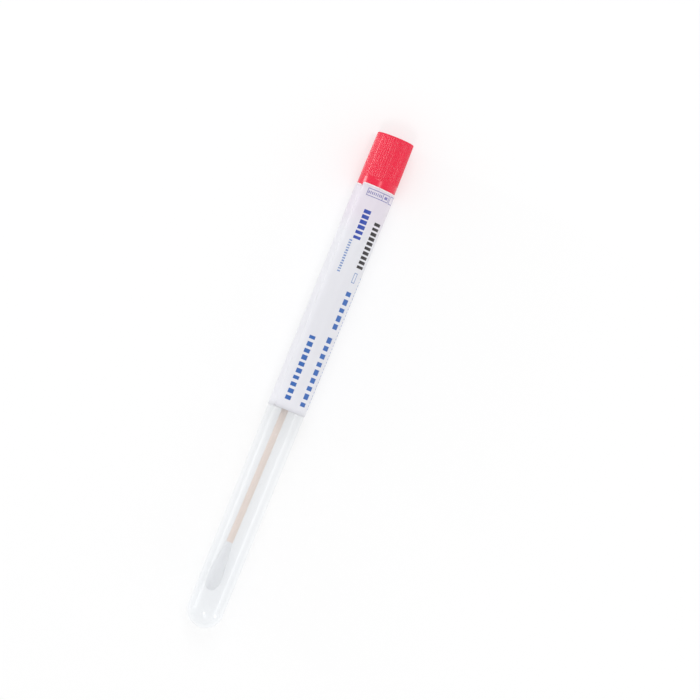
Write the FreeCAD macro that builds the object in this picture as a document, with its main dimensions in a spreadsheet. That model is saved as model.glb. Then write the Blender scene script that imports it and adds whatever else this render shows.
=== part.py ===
"""Specimen swab tube: a closed transport tube with a cotton swab that is fixed in its cap.

A round-bottomed, drafted polypropylene tube lies along X with its mouth towards +X. A fluted
push-in cap plugs the mouth and grips a bowed wooden stick, whose far end carries a cotton bud.
A thin film label is rolled round the upper half of the tube and laps over the cap's collar.

Every length is in millimetres and every angle in degrees. The driving sizes are cells of the
spreadsheet called Sizes, and each sub-part is bound to those cells. Stations along the tube are
counted from the outside of its closed end towards the mouth.
"""

import FreeCAD, Part
import math
import os
import re

import Sketcher
from FreeCAD import Placement, Rotation, Vector

Vector2d = FreeCAD.Base.Vector2d

# alias, value, what it is
SIZES = [
    ("tube_length", 150.0, "closed end to mouth"),
    ("mouth_radius", 6.5, "outside of the tube at its mouth"),
    ("dome_radius", 5.9, "outside of the hemispherical closed end"),
    ("tube_wall", 1.0, "wall of the tube"),
    ("rim_bevel", 0.25, "bevel of both edges of the rim"),
    ("cap_height", 18.7, "mouth of the tube to the top of the cap"),
    ("collar_length", 4.0, "smooth collar under the flutes"),
    ("collar_radius", 6.35, "outside of the collar"),
    ("cap_top_radius", 6.18, "outside of the grip at the top"),
    ("cap_top_bevel", 0.35, "bevel of the top edge"),
    ("cap_roof", 1.6, "thickness of the top of the cap"),
    ("flute_count", 56, "flutes round the grip"),
    ("flute_depth", 0.2, "depth of a flute"),
    ("flute_width", 0.42, "width of a flute"),
    ("plug_length", 10.0, "plug inside the tube"),
    ("plug_radius", 5.3, "plug between its sealing rings"),
    ("plug_tip_radius", 5.0, "leading edge of the plug"),
    ("plug_lead", 1.2, "length of the plug's lead-in"),
    ("core_radius", 4.2, "inside of the plug's skirt"),
    ("seal_flank", 0.4, "length of each flank of a sealing ring"),
    ("seal_clearance", 0.03, "between a sealing ring and the bore"),
    ("seal_first", 2.6, "mouth to the first sealing ring"),
    ("seal_pitch", 3.4, "first sealing ring to the second"),
    ("boss_reach", 4.0, "how far the stick's boss comes below the mouth"),
    ("boss_radius", 2.4, "outside of the boss"),
    ("socket_depth", 14.6, "mouth to the bottom of the stick's socket"),
    ("socket_lead", 0.35, "lead-in of the socket"),
    ("stick_radius", 1.1, "wooden stick"),
    ("stick_length", 150.0, "wooden stick from end to end"),
    ("stick_bow", 6700.0, "radius of the stick's gentle bow"),
    ("stick_in_bud", 14.2, "straight end of the stick inside the bud"),
    ("bud_length", 16.6, "cotton bud"),
    ("bud_radius", 2.45, "rounded tip of the bud"),
    ("bud_neck_radius", 1.25, "bud where it thins out on the stick"),
    ("label_thickness", 0.1, "film of the label"),
    ("label_start", 74.86, "lower edge of the label beside the seam"),
    ("label_end", 151.77, "upper edge of the label beside the seam"),
    ("label_start_drop", 0.35, "drop of the lower edge in one turn"),
    ("label_end_drop", 0.96, "drop of the upper edge in one turn"),
    ("label_corner", 0.8, "rounding of the label's corners"),
    ("label_gap", 0.18, "gap between the two long edges at the seam"),
    ("seam_angle", 42.7, "from the top of the tube round to the seam"),
]

ALIAS = re.compile(r"\b(" + "|".join(alias for alias, _, _ in SIZES) + r")\b")

# expressions that more than one sub-part uses
CENTRE_OF_LENGTH = "(tube_length + cap_height) / 2"
AXIS_HEIGHT = "mouth_radius + label_thickness"
CAP_TOP = "tube_length + cap_height"
BOSS_MOUTH = "tube_length - boss_reach"
SOCKET_FLOOR = "tube_length + socket_depth"
BOW_ANGLE = "((stick_length - socket_depth - boss_reach - stick_in_bud) / stick_bow * 180 / pi)"
NECK_STATION = f"({BOSS_MOUTH} - stick_bow * sin({BOW_ANGLE}))"
NECK_OFFSET = f"(stick_bow * (1 - cos({BOW_ANGLE})))"

X_AXIS, Y_AXIS = -1, -2  # the axes of a sketch, whose origin is the start of its X axis
START, END, CENTRE = 1, 2, 3  # the points of a line, an arc or a circle
QUARTER_HANDLE = 0.5522847  # reach of a Bezier curve's handles that draws a quarter of a circle

doc = FreeCAD.newDocument("SpecimenSwabTube")
sheet = doc.addObject("Spreadsheet::Sheet", "Sizes")


def fill_sheet():
    """Write the driving sizes into the spreadsheet, a row each, and name each value's cell."""
    for row, (alias, amount, meaning) in enumerate(SIZES, start=1):
        sheet.set(f"A{row}", meaning)
        sheet.set(f"B{row}", str(amount))
        sheet.setAlias(f"B{row}", alias)
    doc.recompute()


def cells(expression):
    """The expression with each size named as a cell of the sheet."""
    return ALIAS.sub(r"Sizes.\1", expression)


def value(expression):
    """The number that an expression in sizes gives now."""
    return float(sheet.evalExpression(cells(expression)))


def outside_at(station):
    """Expression for the outside radius of the drafted wall at a station."""
    slope = "(mouth_radius - dome_radius) / (tube_length - dome_radius)"
    return f"(dome_radius + ({station} - dome_radius) * {slope})"


def new_body(name, station="0", offset="0"):
    """A body laid along X, with its origin at a station and at an offset towards +Y."""
    body = doc.addObject("PartDesign::Body", name)
    body.Label = name
    body.setExpression("Placement.Base.x", cells(f"{station} - {CENTRE_OF_LENGTH}"))
    body.setExpression("Placement.Base.y", cells(offset))
    body.setExpression("Placement.Base.z", cells(AXIS_HEIGHT))
    return body


class Drawing:
    """A sketch whose points and dimensions are bound to expressions in the driving sizes."""

    def __init__(self, body, name, role="XY_Plane", offset=None):
        self.sketch = body.newObject("Sketcher::SketchObject", name)
        plane = next(item for item in body.Origin.OriginFeatures if item.Role == role)
        self.sketch.AttachmentSupport = [(plane, "")]
        self.sketch.MapMode = "FlatFace"
        if offset:
            self.sketch.setExpression("AttachmentOffset.Base.z", cells(offset))

    def line(self, start, end):
        """Draw a line between two points and return its number."""
        segment = Part.LineSegment(Vector(*start), Vector(*end))
        return self.sketch.addGeometry(segment, False)

    def arc(self, centre, radius, first, last):
        """Draw an anticlockwise arc between two angles, bind its radius and return its number."""
        circle = Part.Circle(Vector(*centre), Vector(0, 0, 1), value(radius))
        curve = Part.ArcOfCircle(circle, math.radians(first), math.radians(last))
        number = self.sketch.addGeometry(curve, False)
        self.measure("Radius", number, radius)
        return number

    def circle(self, along, out, radius):
        """Draw a circle, bind its centre and radius, and return its number."""
        centre = Vector(value(along), value(out))
        curve = Part.Circle(centre, Vector(0, 0, 1), value(radius))
        number = self.sketch.addGeometry(curve, False)
        self.measure("Radius", number, radius)
        self.pin(number, CENTRE, along, out)
        return number

    def outline(self, points):
        """Draw a closed chain of lines through points that are given as expressions."""
        places = [(value(along), value(out)) for along, out in points]
        lines = [self.line(*pair) for pair in zip(places, places[1:] + places[:1])]
        for number, following in zip(lines, lines[1:] + lines[:1]):
            self.rule("Coincident", number, END, following, START)
        for number, (along, out) in zip(lines, points):
            self.pin(number, START, along, out)

    def rule(self, kind, *geometry):
        """Add a constraint and return its number."""
        return self.sketch.addConstraint(Sketcher.Constraint(kind, *geometry))

    def measure(self, kind, *geometry_and_expression):
        """Add a dimension whose last argument is the expression that drives it."""
        *geometry, expression = geometry_and_expression
        unit = math.pi / 180 if kind == "Angle" else 1
        number = self.rule(kind, *geometry, value(expression) * unit)
        self.sketch.setExpression(f"Constraints[{number}]", cells(expression))

    def pin(self, number, point, along, out):
        """Dimension a point from the sketch's origin, or put it on an axis where a place is 0."""
        for kind, axis, place in (("DistanceX", Y_AXIS, along), ("DistanceY", X_AXIS, out)):
            if place == "0":
                self.rule("PointOnObject", number, point, axis)
            else:
                self.measure(kind, X_AXIS, START, number, point, place)


def revolve(body, name, drawing):
    """Turn a drawing into a solid of revolution round the X axis of its body."""
    feature = body.newObject("PartDesign::Revolution", name)
    feature.Profile = drawing.sketch
    feature.ReferenceAxis = (drawing.sketch, ["H_Axis"])
    feature.Angle = 360.0
    doc.recompute()
    return feature


def bevel_edges(body, name, base, places, width):
    """Bevel the circular edges of a feature that lie at the given stations and radii."""
    spots = [(value(station), value(out)) for station, out in places]
    edges = []
    for number, edge in enumerate(base.Shape.Edges, start=1):
        if edge.Degenerated or edge.Curve.TypeId != "Part::GeomCircle":
            continue
        for station, out in spots:
            if math.dist((edge.Curve.Center.x, edge.Curve.Radius), (station, out)) < 0.02:
                edges.append(f"Edge{number}")
    bevel = body.newObject("PartDesign::Chamfer", name)
    bevel.Base = (base, edges)
    bevel.setExpression("Size", cells(width))
    doc.recompute()


def make_tube():
    """The tube: one drafted wall with a domed end and a bevelled rim."""
    body = new_body("tube")
    length, mouth, wall = value("tube_length"), value("mouth_radius"), value("tube_wall")
    dome = value("dome_radius")
    section = Drawing(body, "tube_section")
    outer_dome = section.arc((dome, 0), "dome_radius", 90, 180)
    outer_wall = section.line((dome, dome), (length, mouth))
    rim = section.line((length, mouth), (length, mouth - wall))
    inner_wall = section.line((length, mouth - wall), (dome, dome - wall))
    inner_dome = section.arc((dome, 0), "dome_radius - tube_wall", 90, 180)
    floor = section.line((wall, 0), (0, 0))
    section.rule("Coincident", floor, END, X_AXIS, START)
    section.rule("Coincident", outer_dome, END, floor, END)
    section.rule("PointOnObject", outer_dome, CENTRE, X_AXIS)
    section.rule("Tangent", outer_dome, START, outer_wall, START)
    section.rule("Coincident", outer_wall, END, rim, START)
    section.rule("Coincident", rim, END, inner_wall, START)
    section.rule("Vertical", rim)
    section.rule("Tangent", inner_wall, END, inner_dome, START)
    section.rule("Coincident", inner_dome, CENTRE, outer_dome, CENTRE)
    section.rule("Coincident", inner_dome, END, floor, START)
    section.rule("PointOnObject", floor, START, X_AXIS)
    section.pin(outer_wall, END, "tube_length", "mouth_radius")
    section.measure("DistanceY", rim, END, rim, START, "tube_wall")
    wall_feature = revolve(body, "drafted_wall", section)
    rim_edges = [("tube_length", "mouth_radius"), ("tube_length", "mouth_radius - tube_wall")]
    bevel_edges(body, "rim_bevels", wall_feature, rim_edges, "rim_bevel")
    return body


def make_cap():
    """The cap: a fluted grip over a smooth collar, a cored plug with two sealing rings, a boss."""
    body = new_body("cap")
    section = Drawing(body, "cap_section")
    plug_end = "tube_length - plug_length"
    core_floor = f"{CAP_TOP} - cap_roof"
    section.outline(
        [
            (SOCKET_FLOOR, "0"),
            (SOCKET_FLOOR, "stick_radius"),
            (f"{BOSS_MOUTH} + socket_lead", "stick_radius"),
            (BOSS_MOUTH, "stick_radius + socket_lead"),
            (BOSS_MOUTH, "boss_radius"),
            (core_floor, "boss_radius"),
            (core_floor, "core_radius"),
            (plug_end, "core_radius"),
            (plug_end, "plug_tip_radius"),
            (f"{plug_end} + plug_lead", "plug_radius"),
            ("tube_length", "plug_radius"),
            ("tube_length", "collar_radius"),
            ("tube_length + collar_length", "collar_radius"),
            (CAP_TOP, "cap_top_radius"),
            (CAP_TOP, "0"),
        ]
    )
    moulding = revolve(body, "moulding", section)
    bevel_edges(body, "top_bevel", moulding, [(CAP_TOP, "cap_top_radius")], "cap_top_bevel")

    rings = Drawing(body, "ring_profiles")
    for station in ("(tube_length - seal_first)", "(tube_length - seal_first - seal_pitch)"):
        rings.outline(
            [
                (f"{station} - seal_flank", "plug_radius - seal_clearance"),
                (station, f"{outside_at(station)} - tube_wall - seal_clearance"),
                (f"{station} + seal_flank", "plug_radius - seal_clearance"),
            ]
        )
    revolve(body, "sealing_rings", rings)
    cut_flutes(body)
    return body


def cut_flutes(body):
    """Cut one V-shaped flute along the tapered grip and repeat it round the cap."""
    path = Drawing(body, "flute_path", "XZ_Plane")
    foot, head = ("tube_length + collar_length", "collar_radius"), (CAP_TOP, "cap_top_radius")
    run = path.line([value(place) for place in foot], [value(place) for place in head])
    path.pin(run, START, *foot)
    path.pin(run, END, *head)

    # the V is drawn twice the flute's depth high, so that its top stands clear of the grip
    section = Drawing(body, "flute_section", "YZ_Plane", foot[0])
    section.outline(
        [
            ("-flute_width", "collar_radius + flute_depth"),
            ("0", "collar_radius - flute_depth"),
            ("flute_width", "collar_radius + flute_depth"),
        ]
    )
    flute = body.newObject("PartDesign::SubtractivePipe", "flute")
    flute.Profile = section.sketch
    flute.Spine = (path.sketch, ["Edge1"])
    doc.recompute()
    uncut = flute.BaseFeature.Shape.Volume
    pattern = body.newObject("PartDesign::PolarPattern", "flutes")
    pattern.Originals = [flute]
    pattern.Axis = (section.sketch, ["N_Axis"])
    pattern.Angle = 360.0
    pattern.setExpression("Occurrences", cells("flute_count"))
    body.Tip = pattern
    doc.recompute()
    if not uncut - pattern.Shape.Volume > 0.9 * value("flute_count") * (uncut - flute.Shape.Volume):
        raise RuntimeError("the flutes cut less than they should")


def make_stick():
    """The stick: straight in the cap's socket, gently bowed, and straight again in the bud."""
    body = new_body("stick")
    path = Drawing(body, "stick_path")
    socket_floor, boss_mouth = value(SOCKET_FLOOR), value(BOSS_MOUTH)
    bow, turn, inside = value("stick_bow"), value(BOW_ANGLE), value("stick_in_bud")
    neck = (value(NECK_STATION), value(NECK_OFFSET))
    lean = math.radians(turn)
    tip = (neck[0] - inside * math.cos(lean), neck[1] + inside * math.sin(lean))
    in_socket = path.line((socket_floor, 0), (boss_mouth, 0))
    bowed = path.arc((boss_mouth, bow), "stick_bow", 270 - turn, 270)
    in_bud = path.line(neck, tip)
    path.pin(in_socket, START, SOCKET_FLOOR, "0")
    path.pin(in_socket, END, BOSS_MOUTH, "0")
    path.rule("Tangent", in_socket, END, bowed, END)
    path.rule("Tangent", bowed, START, in_bud, START)
    path.measure("DistanceX", X_AXIS, START, bowed, START, NECK_STATION)
    path.measure("Distance", in_bud, "stick_in_bud")

    section = Drawing(body, "stick_section", "YZ_Plane", SOCKET_FLOOR)
    section.circle("0", "0", "stick_radius")
    dowel = body.newObject("PartDesign::AdditivePipe", "dowel")
    dowel.Profile = section.sketch
    dowel.Spine = (path.sketch, ["Edge1", "Edge2", "Edge3"])
    dowel.Transition = "Transformed"
    return body


def make_bud():
    """The bud: cotton wound on the stick's end, tapering from its round tip to a thin neck."""
    body = new_body(
        "cotton_bud",
        f"{NECK_STATION} - bud_length * cos({BOW_ANGLE})",
        f"{NECK_OFFSET} + bud_length * sin({BOW_ANGLE})",
    )
    body.Placement.Rotation = Rotation(Vector(0, 0, -1), value(BOW_ANGLE))
    body.setExpression("Placement.Rotation.Angle", cells(BOW_ANGLE))

    tip_radius, neck_radius = value("bud_radius"), value("bud_neck_radius")
    neck, hole_end = value("bud_length"), value("bud_length - stick_in_bud")
    bore = value("stick_radius")
    section = Drawing(body, "bud_section")
    tip = section.arc((tip_radius, 0), "bud_radius", 90, 180)
    flank = section.line((tip_radius, tip_radius), (neck, neck_radius))
    mouth = section.line((neck, neck_radius), (neck, bore))
    hole = section.line((neck, bore), (hole_end, bore))
    hole_floor = section.line((hole_end, bore), (hole_end, 0))
    core = section.line((hole_end, 0), (0, 0))
    section.rule("Coincident", tip, END, X_AXIS, START)
    section.rule("PointOnObject", tip, CENTRE, X_AXIS)
    section.rule("Tangent", tip, START, flank, START)
    for line, following in ((flank, mouth), (mouth, hole), (hole, hole_floor), (hole_floor, core)):
        section.rule("Coincident", line, END, following, START)
    section.pin(mouth, START, "bud_length", "bud_neck_radius")
    section.pin(hole, START, "bud_length", "stick_radius")
    section.rule("Horizontal", hole)
    section.rule("Vertical", hole_floor)
    section.pin(core, START, "bud_length - stick_in_bud", "0")
    section.rule("Coincident", core, END, X_AXIS, START)
    revolve(body, "wound_cotton", section)
    return body


def make_label():
    """The label: a film rolled round the drafted wall a little askew, so that its ends step."""
    wall = Part.Cone()
    wall.Radius = value(outside_at("0"))
    wall.SemiAngle = math.atan(value(f"{outside_at('1')} - {outside_at('0')}"))
    face = Part.Face(wall, Part.Wire(label_edges(wall)))
    label = doc.addObject("Part::Feature", "label")
    label.Label = "label"
    label.Shape = face.makeOffsetShape(value("label_thickness"), 0.001, fill=True)
    to_seam = math.radians(value("seam_angle"))
    seam = Vector(0, math.sin(to_seam), math.cos(to_seam))
    along = Vector(1, 0, 0)
    foot = Vector(-value(CENTRE_OF_LENGTH), 0, value(AXIS_HEIGHT))
    label.Placement = Placement(foot, Rotation(seam, along.cross(seam), along, "ZXY"))
    return label


def label_edges(wall):
    """The label's outline, drawn on the cone of the wall as curves of turn and run.

    The turn is the angle from the seam and the run is the distance from the closed end along the
    wall. Both ends drop by their own amount in one turn, and the four corners are rounded.
    """
    full_turn = 2 * math.pi

    def lower(turn):
        return value("label_start") - value("label_start_drop") * turn / full_turn

    def upper(turn):
        return value("label_end") - value("label_end_drop") * turn / full_turn

    corner = value("label_corner")
    sides, ends, bends = [], [], []
    for end, past_seam, inward in ((lower, 1, 1), (lower, -1, 1), (upper, -1, -1), (upper, 1, -1)):
        radius = wall.Radius + end(0) * math.tan(wall.SemiAngle)
        turn = past_seam * value("label_gap") / 2 / radius
        if past_seam < 0:
            turn += full_turn
        step = turn + past_seam * corner / radius
        sides.append(Vector2d(turn, end(turn) + inward * corner))
        ends.append(Vector2d(step, end(step)))
        bends.append(Vector2d(turn, end(turn)))

    outline = []
    for number in (0, 2):
        opposite = (number + 2) % 4
        outline += [
            quarter(wall, sides[number], bends[number], ends[number]),
            straight(wall, ends[number], ends[number + 1]),
            quarter(wall, ends[number + 1], bends[number + 1], sides[number + 1]),
            straight(wall, sides[number + 1], sides[opposite]),
        ]
    return outline


def straight(wall, start, end):
    """An edge that is straight in turn and run: a ruling or a stretch of helix on the wall."""
    return Part.Geom2d.Line2dSegment(start, end).toShape(wall)


def quarter(wall, start, bend, end):
    """A rounded corner on the wall: a quarter of an ellipse in turn and run, round on the film."""
    curve = Part.Geom2d.BezierCurve2d()
    first = start + (bend - start) * QUARTER_HANDLE
    second = end + (bend - end) * QUARTER_HANDLE
    curve.setPoles([start, first, second, end])
    return curve.toShape(wall)


def check(subparts):
    """Stop if any object of the document failed, or if a sub-part isn't one sound solid."""
    for item in doc.Objects:
        if "Invalid" in item.State or "Error" in item.State:
            raise RuntimeError(f"{item.Name} failed: {item.State}")
    for item in subparts:
        shape = item.Shape
        if shape.isNull() or not shape.isValid() or len(shape.Solids) != 1:
            raise RuntimeError(f"{item.Label} isn't one valid solid")


def export(subparts):
    """Write each sub-part to parts/, in a file that carries its name, and print its volume."""
    os.makedirs("parts", exist_ok=True)
    for item in subparts:
        item.Shape.exportStep(os.path.join("parts", f"{item.Label}.step"))
        print(f"{item.Label}: {item.Shape.Volume:.1f} cubic mm")


fill_sheet()
subparts = [make_tube(), make_cap(), make_stick(), make_bud(), make_label()]
doc.recompute()
check(subparts)
export(subparts)
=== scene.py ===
"""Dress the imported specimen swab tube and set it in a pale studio.

The moulded tube, the fluted cap, the bowed stick, the wound cotton bud and the printed label each
stand for the solid of the same name. Lengths are in millimetres and angles in degrees until a point
is placed. A station is counted along the tube from the outside of its closed end towards the cap,
and a turn is counted round it from the top of the lying tube towards +Y.
"""

from __future__ import annotations

import abc
import logging
import math
from collections.abc import Callable, Iterable, Mapping
from dataclasses import dataclass
from enum import Enum
from typing import ClassVar

import bmesh
import bpy
from mathutils import Matrix, Vector

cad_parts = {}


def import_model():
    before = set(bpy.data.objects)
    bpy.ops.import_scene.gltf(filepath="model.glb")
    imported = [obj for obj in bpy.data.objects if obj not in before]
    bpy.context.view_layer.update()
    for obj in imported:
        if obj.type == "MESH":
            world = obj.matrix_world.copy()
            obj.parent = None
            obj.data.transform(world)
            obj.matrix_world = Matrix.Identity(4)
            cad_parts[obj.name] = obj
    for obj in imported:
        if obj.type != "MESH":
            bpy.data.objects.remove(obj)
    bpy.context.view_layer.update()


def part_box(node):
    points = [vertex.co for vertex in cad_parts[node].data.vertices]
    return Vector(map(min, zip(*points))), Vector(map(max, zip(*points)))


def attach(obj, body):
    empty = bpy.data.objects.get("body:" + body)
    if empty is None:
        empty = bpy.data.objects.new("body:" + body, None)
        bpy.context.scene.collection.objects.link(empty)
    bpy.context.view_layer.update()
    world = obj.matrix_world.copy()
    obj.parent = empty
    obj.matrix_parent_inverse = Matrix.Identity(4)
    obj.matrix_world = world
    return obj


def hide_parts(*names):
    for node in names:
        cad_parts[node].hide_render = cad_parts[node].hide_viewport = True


log = logging.getLogger("swab_tube")

MM = 0.001
NEAR = 0.004  # how close a vertex counts as being at a place, in millimetres or degrees
SAME = 0.0005  # how close two vertices are merged, in millimetres
Colour = tuple[float, float, float]
Triple = tuple[float, float, float]
Stop = tuple[float, float]


# ---- Shader maths ----


class Value:
    """A number in a material that Python's operators do shader maths on.

    Attributes:
        graph: the material's graph, which takes the new nodes.
        socket: the output that carries the number.
    """

    def __init__(self, graph: Graph, socket: bpy.types.NodeSocket) -> None:
        """Wrap an output socket of a graph."""
        self.graph = graph
        self.socket = socket

    def maths(self, operation: str, *operands: Operand) -> Value:
        """Pass numbers or values through a Math node, in the order of its sockets."""
        settings = {"operation": operation}
        return self.graph.output(self.graph.node("ShaderNodeMath", settings, dict(enumerate(operands))))

    def __add__(self, other: Operand) -> Value:
        """Add a number or a value."""
        return self.maths("ADD", self, other)

    def __radd__(self, other: Operand) -> Value:
        """Add this value to a number."""
        return self.maths("ADD", other, self)

    def __sub__(self, other: Operand) -> Value:
        """Subtract a number or a value."""
        return self.maths("SUBTRACT", self, other)

    def __rsub__(self, other: Operand) -> Value:
        """Subtract this value from a number."""
        return self.maths("SUBTRACT", other, self)

    def __mul__(self, other: Operand) -> Value:
        """Multiply by a number or a value."""
        return self.maths("MULTIPLY", self, other)

    def __rmul__(self, other: Operand) -> Value:
        """Multiply a number by this value."""
        return self.maths("MULTIPLY", other, self)

    def __truediv__(self, other: Operand) -> Value:
        """Divide by a number or a value."""
        return self.maths("DIVIDE", self, other)

    def __rtruediv__(self, other: Operand) -> Value:
        """Divide a number by this value."""
        return self.maths("DIVIDE", other, self)

    def __abs__(self) -> Value:
        """Drop the sign."""
        return self.maths("ABSOLUTE", self)

    def whole(self) -> Value:
        """Round down to a whole number."""
        return self.maths("FLOOR", self)

    def clamped(self) -> Value:
        """Hold the value between 0 and 1."""
        return self.graph.output(self.graph.node("ShaderNodeClamp", None, {"Value": self}))

    def within(self, centre: Operand, half: Operand, softness: float) -> Value:
        """Mask the band within half a width of a centre, whose edges fade over the softness."""
        return ((half - abs(self - centre)) / softness + 0.5).clamped()


Operand = int | float | Value
Input = int | float | Colour | Value | bpy.types.NodeSocket


class Graph:
    """The shader nodes of one material or world.

    Attributes:
        owner: the material or the world.
        tree: its node tree.
    """

    def __init__(self, owner: bpy.types.Material | bpy.types.World) -> None:
        """Clear the nodes of a new material or world.

        Args:
            owner: the material or the world.
        """
        self.owner = owner
        owner.use_nodes = True
        self.tree = owner.node_tree
        self.tree.nodes.clear()

    @classmethod
    def of_material(cls, name: str) -> Graph:
        """Start the graph of a new material."""
        return cls(bpy.data.materials.new(name))

    def node(
        self,
        kind: str,
        settings: Mapping[str, object] | None = None,
        sockets: Mapping[str | int, Input] | None = None,
    ) -> bpy.types.Node:
        """Add a node, choose its settings and then fill its sockets.

        Args:
            kind: the node's type.
            settings: its properties.
            sockets: numbers, colours or links for its inputs, by name or by number.

        Returns:
            The new node.
        """
        node = self.tree.nodes.new(kind)
        for key, setting in (settings or {}).items():
            setattr(node, key, setting)
        for key, filling in (sockets or {}).items():
            socket = node.inputs[key]
            if isinstance(filling, Value):
                self.tree.links.new(filling.socket, socket)
            elif isinstance(filling, bpy.types.NodeSocket):
                self.tree.links.new(filling, socket)
            elif isinstance(filling, tuple) and socket.type == "RGBA":
                socket.default_value = (*filling, 1.0)
            else:
                socket.default_value = filling
        return node

    def output(self, node: bpy.types.Node, which: str | int = 0) -> Value:
        """Take an output of a node as a value, by its name or its number."""
        return Value(self, node.outputs[which])

    def noise(self, stretch: Triple, detail: float = 2.0) -> Value:
        """Sample soft noise at the points of the piece, in the frame's axes.

        Args:
            stretch: how many units of the noise go into a metre along X, Y and Z.
            detail: how many finer octaves it has.

        Returns:
            The noise, from 0 to 1.
        """
        point = self.node("ShaderNodeTexCoord").outputs["Object"]
        place = self.node("ShaderNodeMapping", None, {"Vector": point, "Scale": stretch}).outputs[0]
        sockets = {"Vector": place, "Scale": 1.0, "Detail": detail}
        return self.output(self.node("ShaderNodeTexNoise", None, sockets), "Fac")

    def blend(self, factor: Input, first: Input, second: Input) -> bpy.types.NodeSocket:
        """Mix two colours by a factor that is the share of the second."""
        sockets = {0: factor, 6: first, 7: second}  # 6 and 7 are the node's colour inputs
        return self.node("ShaderNodeMix", {"data_type": "RGBA"}, sockets).outputs[2]

    def relief(self, height: Value, depth: float) -> bpy.types.NodeSocket:
        """Bump the normal by a height from 0 to 1, which stands for a depth in millimetres."""
        sockets = {"Height": height, "Distance": depth * MM}
        return self.node("ShaderNodeBump", None, sockets).outputs[0]

    def surface(self, **sockets: Input) -> bpy.types.Material:
        """Finish the material with one principled shader.

        Args:
            **sockets: its inputs by name, with underscores for spaces.

        Returns:
            The finished material.
        """
        named = {key.replace("_", " "): filling for key, filling in sockets.items()}
        shader = self.node("ShaderNodeBsdfPrincipled", None, named)
        self.node("ShaderNodeOutputMaterial", None, {"Surface": shader.outputs[0]})
        return self.owner

    def seen(self) -> Value:
        """Tell rays that show a surface from rays that light one.

        Returns:
            1 for rays from the camera, off gloss or through glass.
        """
        path, kinds = self.node("ShaderNodeLightPath"), ("Camera", "Glossy", "Transmission")
        camera, glossy, transmitted = (self.output(path, f"Is {kind} Ray") for kind in kinds)
        return camera.maths("MAXIMUM", glossy).maths("MAXIMUM", transmitted)


# ---- Finishes ----


@dataclass(frozen=True)
class NaturalPolypropylene:
    """Uncoloured polypropylene: a milky wall that the swab shows through.

    Attributes:
        tint: colour of the plastic's own haze.
        outer_haze: share of the light that the outer skin stops.
        bore_haze: share that the skin of the bore stops.
        flow: how much the haze drifts along the moulding's flow lines.
        flow_lines: how often they vary in a metre along X, Y and Z.
        roughness: how dull the polished mould leaves the skin.
        gloss: refractive index, raised to make up for the gloss that a thin haze loses.
    """

    tint: Colour = (0.845, 0.90, 0.965)
    outer_haze: float = 0.187
    bore_haze: float = 0.04
    flow: float = 0.015
    flow_lines: Triple = (25.0, 260.0, 260.0)
    roughness: float = 0.15
    gloss: float = 2.2

    def outer(self) -> bpy.types.Material:
        """Make the outer skin."""
        return self.skin("natural_polypropylene", self.outer_haze)

    def bore(self) -> bpy.types.Material:
        """Make the clearer skin of the bore."""
        return self.skin("natural_polypropylene_bore", self.bore_haze)

    def skin(self, name: str, haze: float) -> bpy.types.Material:
        """Make a skin, with faint flow lines in its haze.

        Args:
            name: the material's name.
            haze: the share of the light that it stops.

        Returns:
            The material.
        """
        graph = Graph.of_material(name)
        streaks = graph.noise(self.flow_lines)
        return graph.surface(
            Base_Color=self.tint,
            Roughness=self.roughness,
            IOR=self.gloss,
            Specular_IOR_Level=1.0,
            Alpha=haze + (streaks - 0.5) * self.flow,
        )


@dataclass(frozen=True)
class RedPolyethylene:
    """Solid red polyethylene with the fine skin of a moulded cap.

    Attributes:
        pigment: colour of the plastic.
        roughness: how dull the skin is.
        drift: how much that varies.
        texture: how often the moulded texture varies in a metre along X, Y and Z.
        grain: depth of the texture in millimetres.
    """

    pigment: Colour = (0.80, 0.004, 0.044)
    roughness: float = 0.27
    drift: float = 0.06
    texture: Triple = (2200.0, 2200.0, 2200.0)
    grain: float = 0.001

    def material(self) -> bpy.types.Material:
        """Make the plastic, with its faint moulded texture.

        Returns:
            The material.
        """
        graph = Graph.of_material("red_polyethylene")
        skin = graph.noise(self.texture, detail=3.0)
        return graph.surface(
            Base_Color=self.pigment,
            Roughness=self.roughness + (skin - 0.5) * self.drift,
            IOR=1.5,
            Specular_IOR_Level=0.55,
            Normal=graph.relief(skin, self.grain),
        )


@dataclass(frozen=True)
class BirchWood:
    """Pale birch dowel with its grain along the stick.

    Attributes:
        light: colour of the early wood.
        dark: colour of the pores and late wood.
        roughness: how dull the sanded wood is.
        grain: how often the long grain varies in a metre along X, Y and Z.
        pores: how often the short pores do.
        pore_level: where in their noise the pores start.
        pore_edge: how sharply they do.
        grain_tone: how far the grain darkens the wood.
        pore_tone: how far a pore does.
        pore_depth: depth of a pore as a share of the grain's.
        depth: depth of the grain in millimetres.
    """

    light: Colour = (0.78, 0.655, 0.58)
    dark: Colour = (0.63, 0.50, 0.415)
    roughness: float = 0.72
    grain: Triple = (60.0, 2600.0, 2600.0)
    pores: Triple = (420.0, 7000.0, 7000.0)
    pore_level: float = 0.58
    pore_edge: float = 5.0
    grain_tone: float = 0.55
    pore_tone: float = 0.35
    pore_depth: float = 0.5
    depth: float = 0.02

    def material(self) -> bpy.types.Material:
        """Make the wood, with long grain and short pores.

        Returns:
            The material.
        """
        graph = Graph.of_material("birch_wood")
        grain = graph.noise(self.grain, detail=3.0)
        pores = ((graph.noise(self.pores) - self.pore_level) * self.pore_edge).clamped()
        tone = (grain * self.grain_tone + pores * self.pore_tone).clamped()
        return graph.surface(
            Base_Color=graph.blend(tone, self.light, self.dark),
            Roughness=self.roughness,
            Normal=graph.relief(grain - pores * self.pore_depth, self.depth),
        )


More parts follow.
